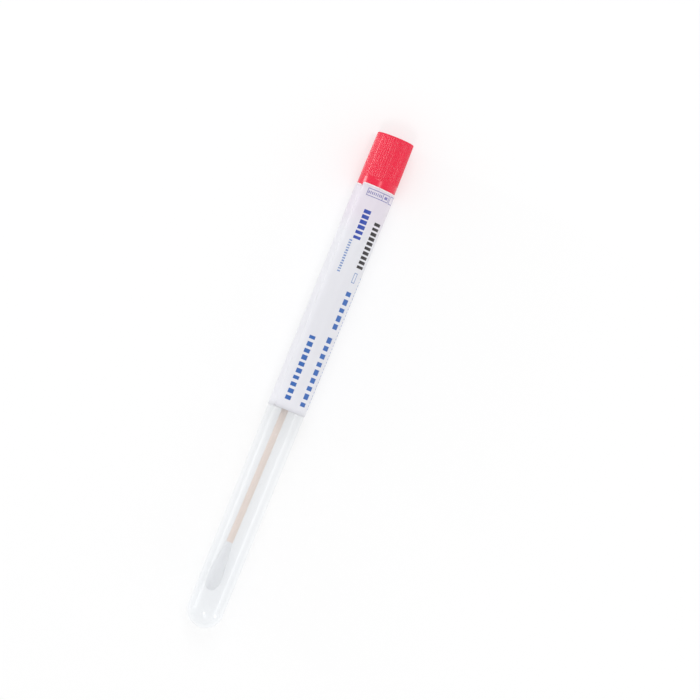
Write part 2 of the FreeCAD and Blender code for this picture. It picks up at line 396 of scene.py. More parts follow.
@dataclass(frozen=True)
class WoundCotton:
    """White cotton fibre, wound and lightly pressed.

    Attributes:
        fibre: colour of the cotton.
        hollow: painted shade between the fibres, the darker colour given where the relief is low.
        strands: how often the wound strands vary in a metre along X, Y and Z.
        lint: how often the loose fibre does.
        strand_share: the strands' share of the relief, where the rest is lint.
        depth: depth of the relief in millimetres.
    """

    fibre: Colour = (0.80, 0.81, 0.82)
    hollow: Colour = (0.67, 0.67, 0.69)
    strands: Triple = (5200.0, 900.0, 900.0)
    lint: Triple = (1600.0, 2600.0, 2600.0)
    strand_share: float = 0.6
    depth: float = 0.08

    def material(self) -> bpy.types.Material:
        """Make the cotton, with strands that run round the bud.

        Returns:
            The material.
        """
        graph = Graph.of_material("wound_cotton")
        strands, lint = (graph.noise(stretch, detail=4.0) for stretch in (self.strands, self.lint))
        height = (strands * self.strand_share + lint * (1 - self.strand_share)).clamped()
        return graph.surface(
            # painted shade: the low places of the relief take the darker hollow colour
            Base_Color=graph.blend(height, self.hollow, self.fibre),
            Roughness=0.95,
            Sheen_Weight=0.35,
            Sheen_Roughness=0.6,
            Normal=graph.relief(height, self.depth),
        )


class Ink(Enum):
    """The printing inks of the label."""

    DEEP_BLUE = (0.012, 0.060, 0.400)
    BLUE = (0.030, 0.135, 0.450)
    PALE_BLUE = (0.200, 0.300, 0.560)
    VIOLET = (0.200, 0.190, 0.430)
    BLACK = (0.020, 0.017, 0.020)


class Fill(Enum):
    """How a printed field is filled."""

    SOLID = "solid"
    BORDER = "border"
    BARS = "bars along the tube"
    RUNGS = "bars round the tube"


@dataclass(frozen=True)
class Mark:
    """One printed field of the label.

    Attributes:
        ink: its ink.
        fill: how it is filled.
        start: its lower station.
        end: its upper station.
        turn: the turn of its middle from the top of the tube.
        height: its size round the tube in millimetres.
        bars: how many bars fill it.
        stroke: the share of each bar's pitch that is printed.
        uneven: how far the bars differ in width, as a share of it.
        ragged: how far their ends differ, as a share of the field's size along them.
        line: the width of a border in millimetres.
    """

    ink: Ink
    fill: Fill
    start: float
    end: float
    turn: float
    height: float
    bars: int = 1
    stroke: float = 0.6
    uneven: float = 0.4
    ragged: float = 0.2
    line: float = 0.24

    def mask(self, graph: Graph, run: Value, across: Value, softness: float) -> Value:
        """Mask the printed part of the field.

        Args:
            graph: the label's graph.
            run: the station of a point of the film.
            across: its distance round the tube from the middle of the field, in millimetres.
            softness: the width over which the ink's edge fades.

        Returns:
            1 where the ink is and 0 elsewhere.
        """
        middle, half = (self.start + self.end) / 2, (self.end - self.start) / 2
        field = run.within(middle, half, softness) * across.within(0.0, self.height / 2, softness)
        if self.fill is Fill.SOLID:
            return field
        if self.fill is Fill.BORDER:
            inside = run.within(middle, half - self.line, softness)
            return field * (1 - inside * across.within(0.0, self.height / 2 - self.line, softness))
        row, side = run - self.start, across
        length, size = self.end - self.start, self.height
        if self.fill is Fill.RUNGS:
            row, side = across + self.height / 2, run - middle
            length, size = size, length
        pitch = length / self.bars
        cells = row / pitch
        number = cells.whole()
        dice = graph.node("ShaderNodeTexWhiteNoise", {"noise_dimensions": "1D"}, {"W": number + self.turn})
        chance = graph.output(dice, "Value")
        stroke = self.stroke / 2 * (1 - self.uneven / 2 + self.uneven * chance)
        bar = (cells - number).within(0.5, stroke, softness / pitch)
        short = size * self.ragged / 2 * chance
        return bar * (side + short).within(0.0, size / 2 - short, softness) * field


@dataclass(frozen=True)
class PrintedFilm:
    """Pale label film with plain printed fields.

    Attributes:
        ground: colour of the film.
        roughness: how dull its satin face is.
        spread: how far light wanders in the film, in millimetres.
        radius: the film's radius at its upper edge, where the fields' heights are measured.
        bleed: the width over which an edge of the ink fades, in millimetres.
        margin: the bare margin along the upper edge.
        bare: its colour.
        painted_plug_glow: painted pink glow on the film where the red plug stands behind it, standing in for
            the plug's red light shining through the white film.
        painted_glow_start: the station where that painted glow is half there.
        painted_glow_fade: the length over which it comes.
        marks: the printed fields.
    """

    ground: Colour = (0.765, 0.765, 0.815)
    roughness: float = 0.38
    spread: float = 0.2
    radius: float = 6.6
    bleed: float = 0.05
    margin: float = 0.4
    bare: Colour = (0.95, 0.96, 0.98)
    painted_plug_glow: Colour = (0.755, 0.700, 0.780)
    painted_glow_start: float = 138.5
    painted_glow_fade: float = 8.0
    marks: tuple[Mark, ...] = (
        Mark(Ink.VIOLET, Fill.BORDER, 148.0, 150.5, -16.0, 8.1),
        Mark(Ink.VIOLET, Fill.SOLID, 148.0, 150.5, -29.0, 0.24),
        Mark(Ink.VIOLET, Fill.RUNGS, 148.75, 149.8, -5.0, 4.9, bars=8, stroke=0.55),
        Mark(Ink.VIOLET, Fill.SOLID, 148.8, 149.7, -40.0, 1.3),
        Mark(Ink.VIOLET, Fill.BORDER, 147.9, 150.6, -66.0, 2.6),
        Mark(Ink.VIOLET, Fill.SOLID, 148.0, 148.6, 60.0, 1.6),
        Mark(Ink.DEEP_BLUE, Fill.BARS, 133.3, 143.9, -2.5, 2.5, bars=6, stroke=0.62, ragged=0.06),
        Mark(Ink.PALE_BLUE, Fill.BARS, 121.8, 133.2, 11.0, 1.05, bars=13, stroke=0.55),
        Mark(Ink.BLACK, Fill.BARS, 124.9, 141.2, -48.0, 3.1, bars=10, stroke=0.62, ragged=0.08),
        Mark(Ink.PALE_BLUE, Fill.BORDER, 120.2, 123.6, -43.0, 1.4),
        Mark(Ink.BLUE, Fill.BARS, 103.8, 117.8, -45.5, 2.3, bars=5, stroke=0.6, ragged=0.08),
        Mark(Ink.BLUE, Fill.BARS, 76.9, 101.8, -43.5, 2.3, bars=9, stroke=0.6, ragged=0.08),
        Mark(Ink.BLUE, Fill.BARS, 77.6, 100.5, 9.0, 2.1, bars=10, stroke=0.6, ragged=0.08),
        Mark(Ink.PALE_BLUE, Fill.BARS, 76.9, 123.0, -78.0, 0.9, bars=40, stroke=0.5),
    )

    def material(self, start: float, end: float, drop: float, seam: float) -> bpy.types.Material:
        """Make the printed face.

        Args:
            start: the station of the film's lower edge at the seam.
            end: the station of its upper edge at the seam.
            drop: how far the upper edge drops in one turn.
            seam: the turn of the seam.

        Returns:
            The material, which reads the film's own UV map.
        """
        graph = Graph.of_material("label_film")
        chart = graph.node("ShaderNodeUVMap", {"uv_map": "film"}).outputs[0]
        split = graph.node("ShaderNodeSeparateXYZ", None, {"Vector": chart})
        past_seam, along = graph.output(split, 0), graph.output(split, 1)
        turn, run = seam - past_seam * 360.0, start + along * (end - start)
        # painted glow: the white film turns pink towards the cap, in place of red light from the plug behind
        # shining through it
        near_plug = ((run - self.painted_glow_start) / self.painted_glow_fade + 0.5).clamped()
        film = graph.blend(near_plug, self.ground, self.painted_plug_glow)
        margin = ((run - (end - self.margin - past_seam * drop)) / self.bleed).clamped()
        colour: Input = graph.blend(margin, film, self.bare)
        for mark in self.marks:
            across = (turn - mark.turn) * math.radians(self.radius)
            colour = graph.blend(mark.mask(graph, run, across, self.bleed), colour, mark.ink.value)
        return graph.surface(
            Base_Color=colour,
            Roughness=self.roughness,
            IOR=1.5,
            Subsurface_Weight=0.7,
            Subsurface_Radius=(1.0, 1.0, 1.0),
            Subsurface_Scale=self.spread * MM,
        )


@dataclass(frozen=True)
class BareFilm:
    """The white back and cut edge of the label film, with the faint mottle of its adhesive.

    Attributes:
        white: colour of the film's core.
        mottled: colour where the adhesive lies thicker.
        mottle: how often that varies in a metre along X, Y and Z.
    """

    white: Colour = (0.95, 0.95, 0.96)
    mottled: Colour = (0.91, 0.91, 0.93)
    mottle: Triple = (300.0, 300.0, 300.0)

    def material(self) -> bpy.types.Material:
        """Make the bare film.

        Returns:
            The material.
        """
        graph = Graph.of_material("label_bare_film")
        colour = graph.blend(graph.noise(self.mottle), self.white, self.mottled)
        return graph.surface(Base_Color=colour, Roughness=0.6)


# ---- Modelling ----


@dataclass(frozen=True)
class Axis:
    """The line that the tube, the cap and the label are turned round.

    Attributes:
        foot: the point at station 0, in metres.
    """

    foot: Vector

    def point(self, station: float) -> Vector:
        """Place the point of the axis at a station, in metres."""
        return self.foot + MM * Vector((station, 0.0, 0.0))

    def station(self, point: Vector) -> float:
        """Tell the station of a point in millimetres."""
        return (point.x - self.foot.x) / MM

    def out(self, point: Vector) -> float:
        """Tell a point's distance from the axis in millimetres."""
        return math.hypot(point.y - self.foot.y, point.z - self.foot.z) / MM

    def stop(self, point: Vector) -> Stop:
        """Tell a point's station and its distance from the axis together."""
        return self.station(point), self.out(point)

    def turn(self, point: Vector) -> float:
        """Tell a point's turn from the top in degrees, from -180 to 180."""
        return math.degrees(math.atan2(point.y - self.foot.y, point.z - self.foot.z))


def arc(centre: Stop, radius: float, first: float, last: float, steps: int) -> list[Stop]:
    """Follow an arc in a section through the axis, leaving out its first point.

    Args:
        centre: the station and the radius of the arc's centre.
        radius: its radius.
        first: its first angle from the direction of the cap.
        last: its last angle.
        steps: how many points to give.

    Returns:
        The points as stations and radii.
    """
    angles = (math.radians(first + (last - first) * step / steps) for step in range(1, steps + 1))
    return [(centre[0] + radius * math.cos(a), centre[1] + radius * math.sin(a)) for a in angles]


def ridge(half: tuple[Stop, ...], station: float, foot: Callable[[float], float], scale: Stop) -> list[Stop]:
    """Give the stops of a low ridge that is the same on both sides of its crest, from the cap down.

    Args:
        half: the side towards the cap, as distances from the crest's middle and heights.
        station: the station of the crest.
        foot: tells the radius that the ridge stands on at a station.
        scale: what the distances and the heights are multiplied by.

    Returns:
        The stops.
    """
    both = (*half, *((-along, height) for along, height in reversed(half)))
    places = ((station + along * scale[0], height * scale[1]) for along, height in both)
    return [(place, foot(place) + height) for place, height in places]


class Work:
    """The piece on the bench: the primitive that was added last, open for editing.

    Attributes:
        piece: the piece's object.
    """

    def __init__(self, name: str) -> None:
        """Take the active primitive, settle its place in its mesh and open it.

        Args:
            name: the piece's name.
        """
        self.piece = bpy.context.active_object
        self.piece.name = self.piece.data.name = name
        bpy.ops.object.transform_apply(location=True, rotation=True, scale=True)
        bpy.ops.object.mode_set(mode="EDIT")

    def pick(self, wanted: Callable[[bmesh.types.BMVert], bool]) -> None:
        """Select the vertices that pass a test, and what lies wholly between them.

        Args:
            wanted: the test.
        """
        mesh = bmesh.from_edit_mesh(self.piece.data)
        bpy.ops.mesh.select_all(action="DESELECT")
        for vertex in mesh.verts:
            vertex.select_set(wanted(vertex))
        mesh.select_flush(True)
        bmesh.update_edit_mesh(self.piece.data)

    def finish(self, smooth: float = 35.0) -> bpy.types.Object:
        """Merge what meets, turn the faces outwards and close the piece.

        Args:
            smooth: the sharpest edge that is still shaded smooth.

        Returns:
            The finished object.
        """
        bpy.ops.mesh.select_all(action="SELECT")
        bpy.ops.mesh.remove_doubles(threshold=SAME * MM)
        bpy.ops.mesh.normals_make_consistent(inside=False)
        bpy.ops.object.mode_set(mode="OBJECT")
        bpy.ops.object.shade_smooth_by_angle(angle=math.radians(smooth))
        return self.piece


class Turning(Work):
    """A ring that is drawn out along the axis, stop by stop, into a turned form.

    Attributes:
        axis: the axis of the turning.
        at: the station and the radius that the selected ring is at.
    """

    def __init__(self, name: str, axis: Axis, start: Stop, sides: int) -> None:
        """Add the first ring.

        Args:
            name: the piece's name.
            axis: the axis of the turning.
            start: the station and the radius of the first ring.
            sides: how many vertices a ring has.
        """
        bpy.ops.object.select_all(action="DESELECT")
        place = axis.point(start[0])
        bpy.ops.mesh.primitive_circle_add(
            vertices=sides, radius=start[1] * MM, location=place, rotation=(0, math.pi / 2, 0)
        )
        super().__init__(name)
        self.axis = axis
        self.at = start
        bpy.ops.mesh.select_all(action="SELECT")

    def draw(self, stops: Iterable[Stop]) -> None:
        """Extrude the selected ring through stops.

        Args:
            stops: the station and the radius of each new ring.
        """
        for station, out in stops:
            self.extrude(station - self.at[0])
            grow = out / self.at[1]
            bpy.ops.transform.resize(value=(1.0, grow, grow), center_override=self.axis.point(station))
            self.at = (station, out)

    def extrude(self, along: float, aside: float = 0.0) -> None:
        """Extrude what is selected, so far along the axis and so far towards +Y."""
        bpy.ops.mesh.extrude_region_move(TRANSFORM_OT_translate={"value": (along * MM, aside * MM, 0.0)})

    def close(self, depth: float = 0.0) -> None:
        """Close the selected ring in a pole on the axis, so far past the ring towards the cap."""
        self.extrude(depth)
        bpy.ops.mesh.merge(type="CENTER")

    def take(self, ring: Stop) -> None:
        """Select a ring that was drawn before, by its station and its radius."""
        self.pick(lambda vertex: math.dist(self.axis.stop(vertex.co), ring) < NEAR)
        self.at = ring

    def round_off(self, ring: Stop, width: float) -> None:
        """Round the edge that runs along a ring, as far as the width on both sides of it."""
        self.take(ring)
        bpy.ops.mesh.bevel(offset=width * MM, segments=3, affect="EDGES")


class Body(Enum):
    """The rigid bodies that pieces ride on."""

    LABELLED_TUBE = "labelled_tube"
    SWAB = "swab"


class SubAssembly(abc.ABC):
    """A part of the swab tube that stands for one solid of the frame.

    Attributes:
        body: the rigid body that it rides on.
        solid: the solid that it stands for.
        slot: the material slot of that solid.
    """

    body: ClassVar[Body]
    solid: ClassVar[str]
    slot: ClassVar[str]

    @abc.abstractmethod
    def build(self) -> None:
        """Model and dress the piece."""

    def dress(
        self,
        piece: bpy.types.Object,
        *materials: bpy.types.Material,
        inner: Callable[[bpy.types.MeshPolygon], bool] = lambda face: False,
    ) -> None:
        """Give a piece its materials and its body, hide the solid that it stands for, and report it.

        Args:
            piece: the piece.
            *materials: its material, and the one for its inner faces if that differs.
            inner: tells which faces those are.
        """
        for material in materials:
            piece.data.materials.append(material)
        for face in piece.data.polygons:
            face.material_index = int(inner(face))
        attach(piece, self.body.value)
        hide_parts(self.solid)
        log.info("%s: %d faces, rides on %s", piece.name, len(piece.data.polygons), self.body.value)


# ---- The labelled tube ----


@dataclass
class DraftedTube(SubAssembly):
    """The polypropylene tube: a drafted wall with a domed end and an open mouth.

    Attributes:
        axis: the tube's axis.
        finish: its plastic.
        length: closed end to mouth.
        mouth_radius: outside at the mouth.
        dome_radius: outside of the domed end.
        wall: thickness of the wall.
        rim_rounding: rounding of both edges of the rim.
        wall_rings: stations that divide the long wall.
        witness_station: where the two halves of the mould left their ring.
        witness_height: how far that ring stands out.
        witness_width: how wide it is.
        witness_shape: half of its section, as shares of half the width and of the height.
        sides: facets round the tube.
        dome_steps: facets from the wall to the pole.
    """

    axis: Axis
    finish: NaturalPolypropylene = NaturalPolypropylene()
    length: float = 150.0
    mouth_radius: float = 6.5
    dome_radius: float = 5.9
    wall: float = 1.0
    rim_rounding: float = 0.25
    wall_rings: tuple[float, ...] = (145.0, 110.0, 30.0)
    witness_station: float = 66.5
    witness_height: float = 0.05
    witness_width: float = 0.5
    witness_shape: tuple[Stop, ...] = ((1.8, 0.0), (1.0, 0.0), (0.45, 1.0))
    sides: int = 160
    dome_steps: int = 20

    body = Body.LABELLED_TUBE
    solid = "tube"
    slot = "natural_polypropylene"

    def outside(self, station: float) -> float:
        """Tell the outside radius of the drafted wall at a station."""
        slope = (self.mouth_radius - self.dome_radius) / (self.length - self.dome_radius)
        return self.dome_radius + (station - self.dome_radius) * slope

    def build(self) -> None:
        """Draw the outside down to its pole, and then the bore from the rim down to its own."""
        rim, inner_rim = (self.length, self.mouth_radius), (self.length, self.mouth_radius - self.wall)
        turning = Turning("tube_moulding", self.axis, rim, self.sides)
        size = (self.witness_width / 2, self.witness_height)
        witness = ridge(self.witness_shape, self.witness_station, self.outside, size)
        rings = [(station, self.outside(station)) for station in self.wall_rings]
        turning.draw(sorted(rings + witness, reverse=True))
        self.draw_dome(turning, self.dome_radius)

        turning.take(rim)
        turning.draw([inner_rim, *((station, out - self.wall) for station, out in rings)])
        self.draw_dome(turning, self.dome_radius - self.wall)
        for edge in (rim, inner_rim):
            turning.round_off(edge, self.rim_rounding)
        self.dress(turning.finish(), self.finish.outer(), self.finish.bore(), inner=self.in_bore)

    def in_bore(self, face: bpy.types.MeshPolygon) -> bool:
        """Tell whether a face lies inwards of the middle of the wall.

        Args:
            face: a face of the tube.

        Returns:
            True for a face of the bore.
        """
        station, out = self.axis.stop(face.center)
        if station < self.dome_radius:
            return math.hypot(station - self.dome_radius, out) < self.dome_radius - self.wall / 2
        return out < self.outside(station) - self.wall / 2

    def draw_dome(self, turning: Turning, radius: float) -> None:
        """Draw the last of the wall and the hemispherical end, and close it.

        Args:
            turning: the turning, with its ring on the wall.
            radius: the radius of the dome.
        """
        last = 180.0 - 90.0 / self.dome_steps
        dome = arc((self.dome_radius, 0.0), radius, 90.0, last, self.dome_steps - 1)
        turning.draw([(self.dome_radius, radius), *dome])
        turning.close(self.dome_radius - radius - turning.at[0])


@dataclass
class RolledLabel(SubAssembly):
    """The label: a film rolled round the tube a little askew, so that its ends step at the seam.

    Attributes:
        tube: the tube that the film is rolled round.
        face: the printed face.
        back: its back and its cut edge.
        thickness: thickness of the film.
        clearance: air between the film and the wall.
        start: station of the lower edge just past the seam.
        end: station of the upper edge just past the seam.
        start_drop: drop of the lower edge in one turn.
        end_drop: drop of the upper edge in one turn.
        corner: rounding of the corners.
        gap: gap between the long edges.
        seam: turn of the seam from the top.
        rows: stations that the film is divided at, counted in from each end.
    """

    tube: DraftedTube
    face: PrintedFilm = PrintedFilm()
    back: BareFilm = BareFilm()
    thickness: float = 0.1
    clearance: float = 0.004
    start: float = 74.86
    end: float = 151.77
    start_drop: float = 0.35
    end_drop: float = 0.96
    corner: float = 0.8
    gap: float = 0.07
    seam: float = 42.7
    rows: tuple[float, ...] = (2.2, 12.0)

    body = Body.LABELLED_TUBE
    solid = "label"
    slot = "label_film"

    def build(self) -> None:
        """Cut a drafted sleeve open at the seam, shape its ends and thicken it."""
        axis = self.tube.axis
        inside = [self.tube.outside(station) + self.clearance for station in (self.start, self.end)]
        columns = round(2 * math.pi * inside[1] / self.gap)
        bpy.ops.object.select_all(action="DESELECT")
        bpy.ops.mesh.primitive_cone_add(
            vertices=columns,
            radius1=inside[0] * MM,
            radius2=inside[1] * MM,
            depth=(self.end - self.start) * MM,
            end_fill_type="NOTHING",
            location=axis.point((self.start + self.end) / 2),
            rotation=(0.0, math.pi / 2, 0.0),
        )
        work = Work("printed_label")
        self.open_seam(work, 360.0 / columns)
        for inset in self.rows:
            for station in (self.start + inset, self.end - inset):
                bpy.ops.mesh.select_all(action="SELECT")
                bpy.ops.mesh.bisect(plane_co=axis.point(station), plane_no=(1.0, 0.0, 0.0))
        self.shape_ends(work)
        film = work.finish()
        self.unroll(film)
        solidify = film.modifiers.new("film", "SOLIDIFY")
        solidify.thickness = self.thickness * MM
        solidify.offset = 1.0
        bpy.ops.object.modifier_apply(modifier=solidify.name)
        printed = self.face.material(self.start, self.end, self.end_drop, self.seam)
        self.dress(film, printed, self.back.material(), inner=self.is_bare)

    def is_bare(self, face: bpy.types.MeshPolygon) -> bool:
        """Tell whether a face belongs to the back or to the cut edge of the film."""
        outwards = face.center - self.tube.axis.point(self.tube.axis.station(face.center))
        return face.normal.dot(outwards.normalized()) < 0.5

    def past_seam(self, point: Vector) -> float:
        """Tell how far round from the seam a point lies, from 0 to 360 degrees."""
        return (self.seam - self.tube.axis.turn(point)) % 360.0

    def open_seam(self, work: Work, pitch: float) -> None:
        """Turn one column of faces to the seam and delete it.

        Args:
            work: the sleeve.
            pitch: the angle that a column takes.
        """
        mesh = bmesh.from_edit_mesh(work.piece.data)
        mesh.verts.ensure_lookup_table()
        off = math.radians(self.past_seam(mesh.verts[0].co) - pitch / 2)
        centre = self.tube.axis.point(0.0)
        bpy.ops.mesh.select_all(action="SELECT")
        bpy.ops.transform.rotate(value=off, orient_axis="X", orient_type="GLOBAL", center_override=centre)
        beside = 0.6 * pitch
        work.pick(lambda vertex: not beside < self.past_seam(vertex.co) < 360.0 - beside)
        bpy.ops.mesh.delete(type="ONLY_FACE")

    def shape_ends(self, work: Work) -> None:
        """Move the end of each column to the askew edge, and round the corners.

        Args:
            work: the open sleeve.
        """
        axis = self.tube.axis
        mesh = bmesh.from_edit_mesh(work.piece.data)
        for station, drop, inward in ((self.start, self.start_drop, 1.0), (self.end, self.end_drop, -1.0)):
            edge = [v.co for v in mesh.verts if abs(axis.station(v.co) - station) < NEAR]
            radius = self.tube.outside(station)
            for turn in sorted({round(self.past_seam(point), 3) for point in edge}):
                from_seam = math.radians(min(turn, 360.0 - turn)) * radius - self.gap / 2
                reach = max(0.0, 1.0 - max(0.0, from_seam) / self.corner)
                rounding = self.corner * (1.0 - math.sqrt(1.0 - reach * reach))
                work.pick(
                    lambda v: abs(axis.station(v.co) - station) < NEAR
                    and abs(self.past_seam(v.co) - turn) < NEAR
                )
                shift = inward * rounding - drop * turn / 360.0
                bpy.ops.transform.translate(value=(shift * MM, 0.0, 0.0))

    def unroll(self, film: bpy.types.Object) -> None:
        """Lay the film's UV map out flat: the turn past the seam against the station.

        Args:
            film: the film before it gets its thickness.
        """
        chart = film.data.uv_layers.new(name="film")
        for loop in film.data.loops:
            point = film.data.vertices[loop.vertex_index].co
            along = (self.tube.axis.station(point) - self.start) / (self.end - self.start)
            chart.data[loop.index].uv = (self.past_seam(point) / 360.0, along)


# ---- The swab ----


@dataclass
class FlutedCap(SubAssembly):
    """The cap: a fluted grip over a smooth collar, and a cored plug that holds the stick.

    Attributes:
        tube: the tube that the cap closes.
        finish: its plastic.
        height: mouth of the tube to the top of the cap.
        collar_length: smooth collar under the flutes.
        collar_radius: outside of the collar.
        foot_rounding: rounding of the collar's lower edge.
        foot_ring: a ring that keeps the collar straight, counted from that edge.
        top_radius: outside of the grip at the top.
        top_rounding: rounding of the top edge.
        top_rings: rings on the flat top, as shares of its radius.
        roof: thickness of the top.
        grip_lead: how far above their start the flutes have their full depth.
        grip_rings: rings along the flutes, as shares of their length.
        flutes: flutes round the grip.
        flute_depth: depth of a flute.
        flute_shape: share of the depth at each vertex from the middle of a flute outwards.
        line_depth: depth of the fine line between the flutes and the collar.
        line_shape: its section, as distances from the start of the flutes and shares of the depth.
        plug_length: plug inside the tube.
        plug_radius: plug between its rings.
        plug_root: bevel where the plug leaves the collar.
        plug_tip_radius: leading edge of the plug.
        plug_tip_step: the end of the lead-in, counted from the tip and from its radius.
        plug_lead: length of the lead-in.
        edge: bevel of the edges of the plug and the boss.
        core_radius: inside of the plug's skirt.
        core_corner: bevel of the corners under the roof.
        seal_stations: the sealing rings, down from the mouth.
        seal_half: half of a ring's length.
        seal_shape: half of its section, as shares of that half and of its rise.
        seal_clearance: between a ring and the bore.
        boss_reach: how far the boss comes below the mouth.
        boss_radius: outside of the boss.
        socket_depth: mouth to the bottom of the stick's socket.
        socket_radius: the stick's socket.
        socket_lead: lead-in of the socket.
        sides_per_flute: facets across a flute and the land beside it.
    """

    tube: DraftedTube
    finish: RedPolyethylene = RedPolyethylene()
    height: float = 18.7
    collar_length: float = 4.0
    collar_radius: float = 6.35
    foot_rounding: float = 0.12
    foot_ring: float = 0.25
    top_radius: float = 6.18
    top_rounding: float = 0.35
    top_rings: tuple[float, ...] = (0.8, 0.3)
    roof: float = 1.6
    grip_lead: float = 0.3
    grip_rings: tuple[float, ...] = (0.0, 0.02, 0.5, 0.97, 1.0)
    flutes: int = 56
    flute_depth: float = 0.13
    flute_shape: tuple[float, ...] = (1.0, 0.9, 0.62, 0.22)
    line_depth: float = 0.05
    line_shape: tuple[Stop, ...] = ((-0.28, 0), (-0.16, 0), (-0.1, 1), (0.04, 1), (0.12, 0), (0.24, 0))
    plug_length: float = 10.0
    plug_radius: float = 5.3
    plug_root: float = 0.25
    plug_tip_radius: float = 5.0
    plug_tip_step: Stop = (0.1, 0.04)
    plug_lead: float = 1.2
    edge: float = 0.08
    core_radius: float = 4.2
    core_corner: float = 0.3
    seal_stations: tuple[float, ...] = (2.6, 6.0)
    seal_half: float = 0.4
    seal_shape: tuple[Stop, ...] = ((1.0, 0.0), (0.5, 0.75), (0.15, 1.0))
    seal_clearance: float = 0.03
    boss_reach: float = 4.0
    boss_radius: float = 2.4
    socket_depth: float = 14.6
    socket_radius: float = 1.1
    socket_lead: float = 0.35
    sides_per_flute: int = 12

    body = Body.SWAB
    solid = "cap"
    slot = "red_polyethylene"

    @property
    def top(self) -> float:
        """The station of the cap's top."""
        return self.tube.length + self.height

    @property
    def grip_start(self) -> float:
        """The station where the flutes start."""
        return self.tube.length + self.collar_length

    @property
    def boss_mouth(self) -> float:
        """The station where the boss ends and lets the stick go."""
        return self.tube.length - self.boss_reach

    @property
    def socket_floor(self) -> float:
        """The station of the bottom of the stick's socket."""
        return self.tube.length + self.socket_depth

    def grip_radius(self, station: float) -> float:
        """Tell the radius of the grip's crests at a station."""
        share = (station - self.grip_start) / (self.top - self.grip_start)
        return self.collar_radius + (self.top_radius - self.collar_radius) * share

    def build(self) -> None:
        """Draw the outside up to the middle of the top, then the plug and its core."""
        foot = (self.tube.length, self.collar_radius)
        sides = self.flutes * self.sides_per_flute
        turning = Turning("cap_moulding", self.tube.axis, foot, sides)
        turning.draw(self.outside())
        turning.close()

        turning.take(foot)
        turning.draw(self.plug() + self.core())
        turning.close()
        turning.round_off(foot, self.foot_rounding)
        self.press_flutes(turning)
        self.dress(turning.finish(smooth=50.0), self.finish.material())

    def outside(self) -> list[Stop]:
        """Follow the collar, the fine line, the grip, its rounded top edge and the flat top.

        Returns:
            The stops from the collar's lower edge up.
        """
        line, crest = self.grip_start, self.collar_radius
        start, shoulder = line + self.grip_lead, self.top - self.top_rounding
        grip = (start + share * (shoulder - start) for share in self.grip_rings)
        inset = self.grip_radius(shoulder) - self.top_rounding
        return [
            (self.tube.length + self.foot_ring, crest),
            *((line + along, crest - share * self.line_depth) for along, share in self.line_shape),
            *((station, self.grip_radius(station)) for station in grip),
            *arc((shoulder, inset), self.top_rounding, 90.0, 0.0, steps=5),
            *((self.top, share * self.top_radius) for share in self.top_rings),
        ]

    def plug(self) -> list[Stop]:
        """Follow the plug from the mouth to its leading edge, over its sealing rings.

        Returns:
            The stops from the mouth down.
        """
        mouth, radius, tip_radius = self.tube.length, self.plug_radius, self.plug_tip_radius
        tip = mouth - self.plug_length
        stops = [(mouth, radius + self.plug_root), (mouth - self.plug_root, radius)]
        for station in (mouth - below for below in self.seal_stations):
            crest = self.tube.outside(station) - self.tube.wall - self.seal_clearance
            stops += ridge(self.seal_shape, station, lambda place: radius, (self.seal_half, crest - radius))
        stops.append((tip + self.plug_lead, radius))
        stops.append((tip + self.plug_tip_step[0], tip_radius + self.plug_tip_step[1]))
        return stops + [(tip, tip_radius - self.edge)]

    def core(self) -> list[Stop]:
        """Follow the hollow round the boss, the boss and its socket.

        Returns:
            The stops from the plug's leading edge up to the roof, down the boss and up its socket.
        """
        tip, roof, boss = self.tube.length - self.plug_length, self.top - self.roof, self.boss_mouth
        edge, corner = self.edge, self.core_corner
        return [
            (tip, self.core_radius + edge),
            (tip + edge, self.core_radius),
            (roof - corner, self.core_radius),
            (roof, self.core_radius - corner),
            (roof, self.boss_radius + corner),
            (roof - corner, self.boss_radius),
            (boss + edge, self.boss_radius),
            (boss, self.boss_radius - edge),
            (boss, self.socket_radius + self.socket_lead),
            (boss + self.socket_lead, self.socket_radius),
            (self.socket_floor, self.socket_radius),
        ]

    def in_grip(self, point: Vector) -> bool:
        """Tell whether a point lies on the smooth grip or on its rounded top edge.

        Args:
            point: a point of the cap.

        Returns:
            True where the flutes are pressed in.
        """
        lowest, innermost = self.grip_start + self.grip_lead, self.top_radius - self.top_rounding
        station, out = self.tube.axis.stop(point)
        return station > lowest - NEAR and out > innermost - NEAR

    def aside(self, point: Vector) -> int:
        """Tell how many sides away from the middle of the nearest flute a point is."""
        sides = round(self.tube.axis.turn(point) / 360.0 * self.flutes * self.sides_per_flute)
        return min(sides % self.sides_per_flute, -sides % self.sides_per_flute)

    def press_flutes(self, turning: Turning) -> None:
        """Press the flutes into the grip: each vertex of a flute goes in by its share of the depth.

        Args:
            turning: the cap with a smooth grip.
        """
        centre = turning.axis.point(self.grip_start)
        for away, share in enumerate(self.flute_shape):
            turning.pick(lambda vertex: self.in_grip(vertex.co) and self.aside(vertex.co) == away)
            sunk = 1.0 - self.flute_depth * share / self.collar_radius
            bpy.ops.transform.resize(value=(1.0, sunk, sunk), center_override=centre)


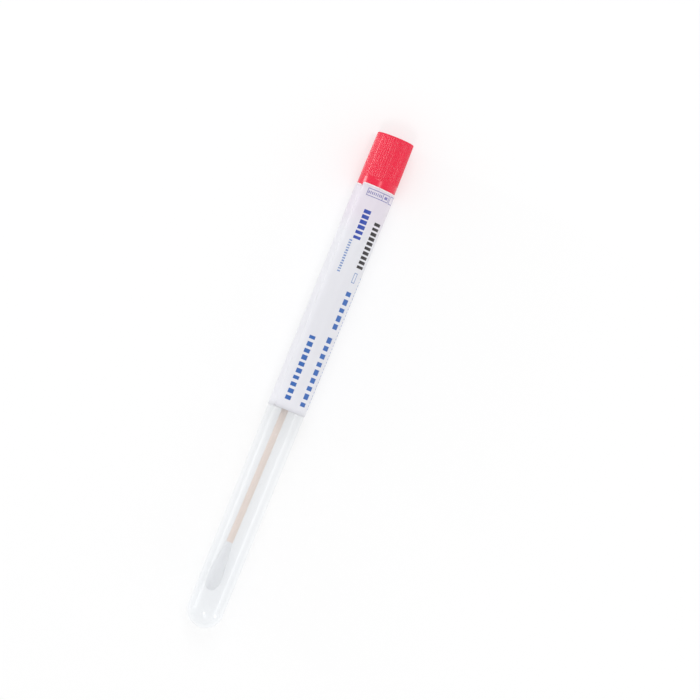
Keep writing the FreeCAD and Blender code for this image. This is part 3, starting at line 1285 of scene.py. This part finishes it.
@dataclass
class BowedStick(SubAssembly):
    """The stick: straight in the cap's socket, gently bowed, and straight again in the bud.

    Attributes:
        cap: the cap that holds it.
        finish: its wood.
        radius: radius of the dowel.
        length: length along the stick.
        bow: radius of the bow.
        in_bud: straight length inside the bud.
        bevel: bevel of both ends.
        sides: facets round the stick.
        steps: lengths that the bow is divided into.
    """

    cap: FlutedCap
    finish: BirchWood = BirchWood()
    radius: float = 1.1
    length: float = 150.0
    bow: float = 6700.0
    in_bud: float = 14.2
    bevel: float = 0.08
    sides: int = 40
    steps: int = 24

    body = Body.SWAB
    solid = "stick"
    slot = "birch_wood"

    @property
    def lean(self) -> float:
        """The angle in radians that the bow turns the stick through."""
        bowed = self.length - (self.cap.socket_floor - self.cap.boss_mouth) - self.in_bud
        return bowed / self.bow

    def route(self) -> list[Stop]:
        """Follow the stick's centre line.

        Returns:
            Its points as stations and offsets towards +Y, from the cap down.
        """
        mouth = self.cap.boss_mouth
        line = [(self.cap.socket_floor, 0.0), (mouth, 0.0)]
        for step in range(1, self.steps + 1):
            angle = self.lean * step / self.steps
            line.append((mouth - self.bow * math.sin(angle), self.bow * (1 - math.cos(angle))))
        neck = line[-1]
        end = (neck[0] - self.in_bud * math.cos(self.lean), neck[1] + self.in_bud * math.sin(self.lean))
        return line + [end]

    def build(self) -> None:
        """Draw a ring along the centre line and bevel both ends."""
        line = self.route()
        turning = Turning("birch_stick", self.cap.tube.axis, (line[0][0], self.radius), self.sides)
        bpy.ops.mesh.edge_face_add()
        for (station, aside), (next_station, next_aside) in zip(line, line[1:]):
            turning.extrude(next_station - station, next_aside - aside)
        for end in (line[0], line[-1]):
            turning.pick(lambda vertex: abs(turning.axis.station(vertex.co) - end[0]) < NEAR)
            bpy.ops.mesh.bevel(offset=self.bevel * MM, segments=2, affect="EDGES")
        self.dress(turning.finish(), self.finish.material())


@dataclass
class WoundBud(SubAssembly):
    """The bud: cotton wound on the end of the stick, fullest near its tip.

    Attributes:
        stick: the stick that the cotton is wound on.
        finish: the cotton.
        length: tip to neck.
        tip_radius: rounding of the tip.
        full_radius: radius where the bud is fullest.
        full_at: how far from the tip that is.
        belly: radius of the belly's curve.
        belly_end: how far past the fullest place that curve goes.
        neck_radius: radius where the cotton ends on the stick.
        lumps: how far the cotton's surface wanders.
        lump_size: how wide a lump is.
        sides: facets round the bud.
        steps: lengths that the bud is divided into.
        tip_steps: distances from the tip of the last rings.
    """

    stick: BowedStick
    finish: WoundCotton = WoundCotton()
    length: float = 16.6
    tip_radius: float = 2.05
    full_radius: float = 2.5
    full_at: float = 4.8
    belly: float = 10.68
    belly_end: float = 1.25
    neck_radius: float = 1.18
    lumps: float = 0.12
    lump_size: float = 1.1
    sides: int = 96
    steps: int = 60
    tip_steps: tuple[float, ...] = (0.18, 0.09, 0.03)

    body = Body.SWAB
    solid = "cotton_bud"
    slot = "cotton"

    def radius_at(self, along: float) -> float:
        """Follow the round tip, the flatter arc of the belly and the straight taper behind it.

        Args:
            along: the distance from the tip.

        Returns:
            The bud's radius there.
        """
        joint = self.full_at - self.belly * (self.full_at - self.tip_radius) / (self.belly - self.tip_radius)
        if along < joint:
            return math.sqrt(max(0.0, self.tip_radius**2 - (self.tip_radius - along) ** 2))
        shoulder = self.full_at + self.belly_end
        middle = self.full_radius - self.belly
        if along < shoulder:
            return middle + math.sqrt(self.belly**2 - (along - self.full_at) ** 2)
        high = middle + math.sqrt(self.belly**2 - (shoulder - self.full_at) ** 2)
        return high + (self.neck_radius - high) * (along - shoulder) / (self.length - shoulder)

    def build(self) -> None:
        """Turn the bud at its own place, lean it with the stick, and roughen it."""
        neck_station, neck_aside = self.stick.route()[-2]
        axis = Axis(self.stick.cap.tube.axis.point(neck_station - self.length))
        turning = Turning("wound_bud", axis, (self.length, self.neck_radius), self.sides)
        stations = [self.length * (1 - step / self.steps) for step in range(1, self.steps)]
        turning.draw([(along, self.radius_at(along)) for along in (*stations, *self.tip_steps)])
        turning.close(-self.tip_steps[-1])
        turning.take((self.length, self.neck_radius))
        turning.draw([(self.length, self.stick.radius), (self.length - self.stick.in_bud, self.stick.radius)])
        turning.close()
        self.lean_over(axis.point(self.length), self.stick.lean, neck_aside)
        bud = turning.finish(smooth=60.0)
        self.roughen(bud)
        self.dress(bud, self.finish.material())

    def lean_over(self, neck: Vector, lean: float, aside: float) -> None:
        """Lean the edited piece with the stick's end.

        Args:
            neck: the bud's neck while it is still on the tube's axis, in metres.
            lean: the angle in radians.
            aside: how far the neck moves towards +Y.
        """
        bpy.ops.mesh.select_all(action="SELECT")
        bpy.ops.transform.rotate(value=lean, orient_axis="Z", orient_type="GLOBAL", center_override=neck)
        bpy.ops.transform.translate(value=(0.0, aside * MM, 0.0))

    def roughen(self, bud: bpy.types.Object) -> None:
        """Let the cotton's surface wander, as wound fibre does.

        Args:
            bud: the smooth bud.
        """
        clouds = bpy.data.textures.new("cotton_lumps", "CLOUDS")
        clouds.noise_scale = self.lump_size * MM
        clouds.noise_depth = 3
        displace = bud.modifiers.new("lumps", "DISPLACE")
        displace.texture = clouds
        displace.strength = self.lumps * MM
        displace.mid_level = 0.5
        bpy.ops.object.modifier_apply(modifier=displace.name)


# ---- The studio ----


@dataclass
class Softbox:
    """A soft lamp that is aimed at the tube.

    Attributes:
        name: the lamp's name.
        along: how far it stands towards the cap in metres.
        tilt: its angle from straight above, towards +Y.
        away: its distance from the frame's origin across the tube in metres.
        length: its length in metres, which lies along the tube for a lamp at its side.
        width: its width in metres.
        power: its power in watts.
    """

    name: str
    along: float
    tilt: float
    away: float
    length: float
    width: float
    power: float

    def build(self) -> None:
        """Add the lamp."""
        light = bpy.data.lights.new(self.name, "AREA")
        light.shape = "RECTANGLE"
        light.size, light.size_y = self.length, self.width
        light.energy = self.power
        lamp = bpy.data.objects.new(self.name, light)
        bpy.context.scene.collection.objects.link(lamp)
        angle = math.radians(self.tilt)
        lamp.location = (self.along, self.away * math.sin(angle), self.away * math.cos(angle))
        lamp.rotation_euler = (-lamp.location).to_track_quat("-Z", "Y").to_euler()


@dataclass
class Studio:
    """A pale sweep under soft light, and the camera that looks down on the lying tube.

    Attributes:
        ambient: strength of the light from all round.
        floor_size: side of the floor in metres.
        floor_below: how far it lies below the tube, in millimetres.
        floor_white: colour of the floor as it lights the tube.
        floor_shown: its colour as it is seen, under the shadow.
        lift: white that it is seen to have of its own.
        roll: angle of the tube in the picture, from upright towards the right.
        aim: the point that the camera looks at, in millimetres from the frame's origin.
        eye: the point that it looks from.
        lens: focal length in millimetres.
        sensor: width of the sensor in millimetres.
        boxes: the lamps.
    """

    ambient: float = 0.52
    floor_size: float = 8.0
    floor_below: float = 0.03
    floor_white: float = 0.85
    floor_shown: float = 0.20
    lift: float = 0.88
    roll: float = 22.0
    aim: Triple = (15.9, -11.7, 6.6)
    eye: Triple = (-8.4, -11.7, 1078.6)
    lens: float = 172.0
    sensor: float = 36.0
    boxes: tuple[Softbox, ...] = (
        Softbox("left_strip", along=-0.115, tilt=75.0, away=0.75, length=0.24, width=0.2, power=0.2),
        Softbox("right_strip", along=-0.115, tilt=-66.0, away=0.75, length=0.24, width=0.14, power=0.13),
        Softbox("right_softbox", along=0.0, tilt=-77.0, away=0.75, length=1.0, width=0.4, power=0.4),
        Softbox("cap_end_softbox", along=1.1, tilt=10.0, away=1.2, length=0.7, width=0.7, power=4.0),
        Softbox("closed_end_lamp", along=-0.5, tilt=0.0, away=1.15, length=0.2, width=0.2, power=1.4),
        Softbox("cap_side_kicker", along=0.134, tilt=84.0, away=0.75, length=0.054, width=0.18, power=0.9),
        Softbox("cap_top_kicker", along=0.17, tilt=-14.0, away=1.3, length=0.08, width=0.16, power=1.4),
    )

    def build(self) -> None:
        """Set the sweep, the lamps and the camera."""
        bpy.context.scene.view_settings.view_transform = "Standard"
        self.light_from_all_round()
        self.lay_floor()
        for box in self.boxes:
            box.build()
        self.set_camera()

    def light_from_all_round(self) -> None:
        """Make the world white to look at and softer as a light."""
        world = bpy.data.worlds.new("pale_sweep")
        bpy.context.scene.world = world
        graph = Graph(world)
        strength = self.ambient + graph.seen() * (1.0 - self.ambient)
        sockets = {"Color": (1.0, 1.0, 1.0), "Strength": strength}
        background = graph.node("ShaderNodeBackground", None, sockets)
        graph.node("ShaderNodeOutputWorld", None, {"Surface": background.outputs[0]})

    def lay_floor(self) -> None:
        """Lay the floor just under the tube."""
        bpy.ops.object.select_all(action="DESELECT")
        bpy.ops.mesh.primitive_plane_add(size=self.floor_size, location=(0.0, 0.0, -self.floor_below * MM))
        floor = bpy.context.active_object
        floor.name = "studio_floor"
        graph = Graph.of_material("pale_floor")
        seen = graph.seen()
        material = graph.surface(
            Base_Color=graph.blend(seen, (self.floor_white,) * 3, (self.floor_shown,) * 3),
            Roughness=0.9,
            Specular_IOR_Level=0.0,
            Emission_Color=(1.0, 1.0, 1.0),
            Emission_Strength=seen * self.lift,
        )
        floor.data.materials.append(material)

    def set_camera(self) -> None:
        """Set the camera above the tube, with the tube leaning to the right in the picture."""
        eye, aim = Vector(self.eye) * MM, Vector(self.aim) * MM
        forward = (aim - eye).normalized()
        roll = math.radians(self.roll)
        upward = Vector((math.cos(roll), math.sin(roll), 0.0))
        right = forward.cross(upward).normalized()
        upward = right.cross(forward)
        camera = bpy.data.objects.new("camera", bpy.data.cameras.new("camera"))
        bpy.context.scene.collection.objects.link(camera)
        turned = Matrix((right, upward, -forward)).transposed().to_4x4()
        camera.matrix_world = Matrix.Translation(eye) @ turned
        camera.data.lens = self.lens
        camera.data.sensor_width = self.sensor
        bpy.context.scene.camera = camera


def main() -> None:
    """Build every piece on the frame, and then the studio round them."""
    logging.basicConfig(level=logging.INFO, format="%(levelname)s %(message)s")
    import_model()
    low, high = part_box("tube")
    tube = DraftedTube(Axis(Vector((low.x, 0.0, (low.z + high.z) / 2))))
    cap = FlutedCap(tube)
    stick = BowedStick(cap)
    for part in (tube, RolledLabel(tube), cap, stick, WoundBud(stick)):
        part.build()
    Studio().build()


if __name__ == "__main__":
    main()
